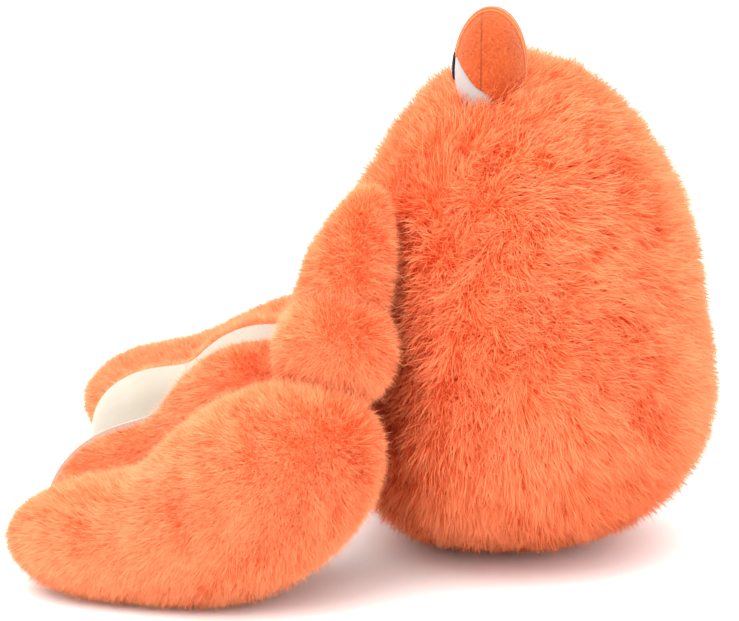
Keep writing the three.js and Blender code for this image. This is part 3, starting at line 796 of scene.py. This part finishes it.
# Four swellings placed from the elbow and standing on the floor. A turned claw lifts its outer side and then
# its nose, about the top of the pincer notch, and drops until it rests on the floor. Pressed gives how far the
# filling has shifted in a claw's own swellings.
def clawShape(side):
    c = claw
    roll, pitch = np.radians(c["roll"][side]), np.radians(c["pitch"][side])
    rolled = np.array([[np.cos(roll), 0, -np.sin(roll)], [0, 1, 0], [np.sin(roll), 0, np.cos(roll)]])
    turn = np.array([[1, 0, 0], [0, np.cos(pitch), np.sin(pitch)], [0, -np.sin(pitch), np.cos(pitch)]]) @ rolled
    mittenX = elbowPlace[0] + c["mitten"]["outward"]
    mittenY = elbowPlace[1] - c["mitten"]["forward"] - c["advance"][side]
    rearX, rearY = elbowPlace[0] - c["rearFinger"]["inward"], mittenY - c["rearFinger"]["forward"]
    toeX, toeY = elbowPlace[0] + c["toe"]["outward"], mittenY - c["toe"]["forward"]
    frontX, frontY = rearX - c["frontFinger"]["inward"], rearY - c["frontFinger"]["forward"]
    notch = np.array([rearX, rearY - c["notchForward"], c["frontFinger"]["size"][2]])
    rest = notch - np.array([0, 0, c["drop"][side]])
    lobes = {}
    for part, x, y in (("mitten", mittenX, mittenY), ("toe", toeX, toeY),
                       ("rearFinger", rearX, rearY), ("frontFinger", frontX, frontY)):
        pressed = c["pressed"][side].get(part, {})
        half = np.array(c[part]["size"]) / 2
        tilt = np.radians(c[part].get("tilt", 0))
        standing = np.hypot(half[2] * np.cos(tilt), half[1] * np.sin(tilt))
        centre = np.array([x, y - pressed.get("ahead", 0), c[part].get("lift", 0) + standing - c["flat"]])
        centre[1:] += -pressed.get("longer", 0) / 2, pressed.get("lift", 0)
        half[1] += pressed.get("longer", 0) / 2
        tilt += np.radians(pressed.get("tilt", 0))
        untilt = np.array([[1, 0, 0], [0, np.cos(tilt), np.sin(tilt)], [0, -np.sin(tilt), np.cos(tilt)]])
        lobes[part] = {"centre": turn @ (centre - notch) + rest, "half": half, "unturn": untilt @ turn.T}
    return lobes, turn, notch


# Levels melted into one: -width * log(sum of exp(-level / width)).
def melted(levels, width):
    return -width * np.log(sum(np.exp(np.minimum(-level / width, 60)) for level in levels) + 1e-30)


# Below zero inside the claw: mitten and toe melt softly together and the fingers more sharply into both, with
# room cut for the elbow ball, the body and the floor.
def clawLevelFor(lobes, sunk):
    dish = arm["elbowDiameter"] / 2 - arm["sunk"] + arm["elbowPlay"] + max(sunk, 1)

    def level(p):
        each = {}
        for part, lobe in lobes.items():
            room = lobe["half"] - sunk
            reach = np.linalg.norm(((p - lobe["centre"]) @ lobe["unturn"].T) / room, axis=1)
            each[part] = (reach - 1) * room.min()
        outer = melted([each["mitten"], each["toe"]], claw["mittenBlend"])
        form = melted([outer, each["rearFinger"], each["frontFinger"]], claw["blend"])
        cut = np.maximum(dish - np.linalg.norm(p - elbowPlace, axis=1), claw["bodyPlay"] + sunk - bodyDistance(p))
        return np.maximum(np.maximum(form, cut), sunk * 0.3 + 0.6 - p[:, 2])

    return level


# A lining: from the middle of a finger, rays in the seam's plane find the rim at every turn; at a share of
# that rim the cloth bulges to the claw's own surface, and it tucks in just at the seam.
def makeLining(name, finger, turned, level, rimLevel, notch, ahead, mirror):
    rings, facets = claw["liningRings"], claw["liningFacets"]
    inwards, forwards, upwards = -turned[:, 0], turned[:, 1], turned[:, 2]
    middle = finger["centre"] + inwards * (finger["half"][0] - claw["liningDepth"])
    turn = 2 * np.pi * np.arange(facets) / facets
    ways = np.cos(turn)[:, None] * forwards + np.sin(turn)[:, None] * upwards
    side = -1 if ahead else 1
    limited = lambda p: np.maximum(rimLevel(p), side * (notch[1] - p[:, 1]) - claw["notchOverlap"])
    rim = crossing(limited, np.broadcast_to(middle, ways.shape), ways, claw["rimReach"])
    share = np.sin(np.linspace(0, np.pi / 2, rings + 1))
    flat = middle + (share[:, None] * rim)[..., None] * ways
    start = flat.reshape(-1, 3)
    bulge = crossing(level, start, np.broadcast_to(inwards, start.shape), claw["bulgeReach"]).reshape(flat.shape[:2])
    fade = np.sqrt(np.maximum(1 - share ** claw["rimPower"], 0))[:, None]
    gathers = claw["gathers"] * np.sin(17 * turn + 2.0) * np.sin(7 * turn) * (share ** 7)[:, None]
    front = flat + ((bulge + gathers) * fade)[..., None] * inwards
    back = flat - inwards * claw["liningBack"]
    points = np.concatenate([front[0, :1], front[1:].reshape(-1, 3), back[-2:0:-1].reshape(-1, 3), back[0, :1]])
    skin = skinOf(points, ringFaces(2 * rings - 1, facets))
    skin = mirroredSkin(skin) if mirror else skin
    return putMesh(name, skin["points"], skin["tris"], creamNap)


def makeClaw(side):
    mirror = side == "right"
    lobes, turned, notch = clawShape(side)
    places = {part: lobe["centre"] for part, lobe in lobes.items()}
    share = claw["coreInward"] / 2
    core = (0.5 - share) * (places["mitten"] + places["toe"])
    core = core + share * (places["rearFinger"] + places["frontFinger"])
    inwards = -turned[:, 0]
    rear, front = lobes["rearFinger"], lobes["frontFinger"]

    # how far a place lies inside the lining's plane, below zero on the furred side
    def lined(p):
        depth = lambda finger: (p - finger["centre"]) @ inwards - (finger["half"][0] - claw["liningDepth"])
        return np.where(p[:, 1] > notch[1], depth(rear), depth(front))

    furred = clawLevelFor(lobes, claw["sunk"])

    # the skin goes in under the linings, first at the seam and then further behind it
    def level(p):
        inside = lined(p)
        deeper = claw["linedSunk"] * np.clip((inside + 2) / 3, 0, 1)
        deeper = deeper + claw["innerSunk"] * np.clip((inside - 1) / 4, 0, 1)
        return furred(p) + deeper

    skin = raySkin(level, core, claw["rings"], claw["facets"], 200)
    shown = mirroredSkin(skin) if mirror else skin
    cover = putMesh(f"{side}ClawSkin", shown["points"], shown["tris"], backing)
    body = f"{side}_claw"
    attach(cover, body)
    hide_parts(f"{body}_cover", f"{body}_stuffing")

    # shorter towards the seam and none behind it
    def trim(p):
        off = -lined(p) - claw["bareAtSeam"]
        least = claw["shortAtSeam"]
        return np.where(off > 0, least + (1 - least) * np.clip(off / claw["shortOver"], 0, 1), 0)

    # forward and down, and away from the seam beside it
    def combed(p):
        away = np.clip(1 + lined(p) / claw["awayOver"], 0, 1)[:, None] * -inwards
        return swirled(np.array(claw["comb"]), claw["swirls"], p) + claw["awayShare"] * away

    for piece in growPile(f"{side}ClawPile", skin, clawPile, combed, trim, shortPile, mirror):
        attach(piece, body)

    surface, rimLevel = clawLevelFor(lobes, 0.3), clawLevelFor(lobes, claw["rimSunk"][side])
    for label, node, finger, ahead in (("RearLining", "rear_lining", rear, False),
                                       ("FrontLining", "front_lining", front, True)):
        piece = makeLining(f"{side}Claw{label}", finger, turned, surface, rimLevel, notch, ahead, mirror)
        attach(piece, body)
        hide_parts(f"{body}_{node}")


for side in ("left", "right"):
    makeClaw(side)
print("claws made")


# Floor

floorSize = {"half": 4000, "cells": 40}


# A level sheet of square cells.
def makeFloor():
    cells = floorSize["cells"]
    line = np.linspace(-floorSize["half"], floorSize["half"], cells + 1)
    x, y = np.meshgrid(line, line, indexing="ij")
    points = np.stack([x, y, 0 * x], -1).reshape(-1, 3)
    at = (np.arange(cells)[:, None] * (cells + 1) + np.arange(cells)).ravel()
    tris = np.concatenate([
        np.stack([at, at + cells + 1, at + cells + 2], -1),
        np.stack([at, at + cells + 2, at + 1], -1),
    ])
    floor = putMesh("paleFloor", points, tris, paleFloor)


makeFloor()
